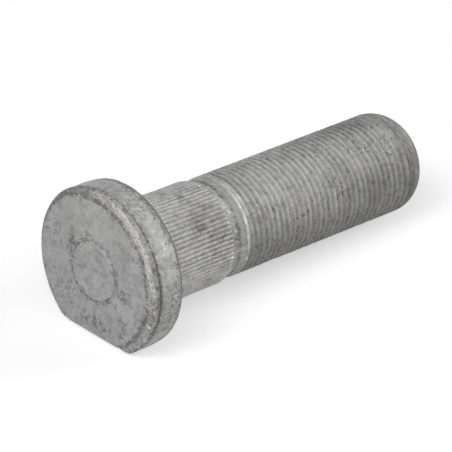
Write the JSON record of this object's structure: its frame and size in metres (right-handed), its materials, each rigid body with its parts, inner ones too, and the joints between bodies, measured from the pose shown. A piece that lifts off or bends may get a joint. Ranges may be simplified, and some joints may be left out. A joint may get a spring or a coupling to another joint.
{
  "type": "serrated wheel stud",
  "caption": "Press-in wheel stud: a flat-sided round head, a serrated shank, a short neck and a long fine right-hand thread with a rounded tip.",
  "frame": {"origin": "on the stud's axis, in the plane of the seat under the head", "axes": "+X along the axis towards the thread's tip, -Z out of the flat on the head, which faces down as it lies"},
  "size_m": [0.0861, 0.0362, 0.0331],
  "materials": {
    "steel": "dull grey plating, mottled, with dark specks and light handling marks"
  },
  "bodies": {
    "root": {"stud": "steel"}
  },
  "joints": []
}
